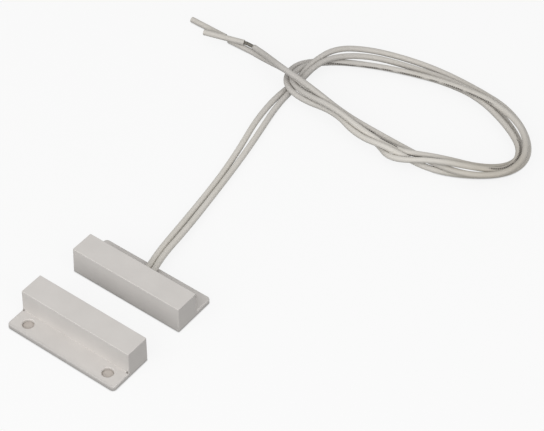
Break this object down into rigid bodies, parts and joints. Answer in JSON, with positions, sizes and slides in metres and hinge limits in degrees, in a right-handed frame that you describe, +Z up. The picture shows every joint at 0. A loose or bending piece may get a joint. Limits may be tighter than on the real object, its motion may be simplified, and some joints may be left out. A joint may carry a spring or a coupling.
{
  "type": "magnetic door contact",
  "caption": "Surface-mount magnetic door contact: a reed switch housing with two loosely coiled leads, and its facing magnet housing.",
  "frame": {"origin": "between the two halves, on the surface that both rest on, at the centre of their common bounding box", "axes": "+X along the length of the halves, +Y from the magnet half to the switch half and its leads, +Z up from the resting surface"},
  "size_m": [0.1114, 0.1503, 0.0082],
  "materials": {
    "housing": "moulded satin white",
    "potting": "cast, slightly glossy",
    "reed_glass": "clear, faintly green",
    "reed_blade": "plated",
    "solder": "bright solder",
    "core": "tinned strands",
    "insulation": "soft satin",
    "magnet": "pressed and sintered, matt"
  },
  "bodies": {
    "root": {"switch_housing": "housing", "magnet_housing": "housing", "switch_potting": "potting", "magnet_potting": "potting", "reed_glass": "reed_glass", "reed_blade_left": "reed_blade", "reed_blade_right": "reed_blade", "solder_joint_left": "solder", "solder_joint_right": "solder", "inner_core_left": "core", "inner_core_right": "core", "end_core_left": "core", "end_core_right": "core", "lead_left": "insulation", "lead_right": "insulation", "pulled_sleeve_left": "insulation", "pulled_sleeve_right": "insulation", "bar_magnet": "magnet"}
  },
  "joints": []
}
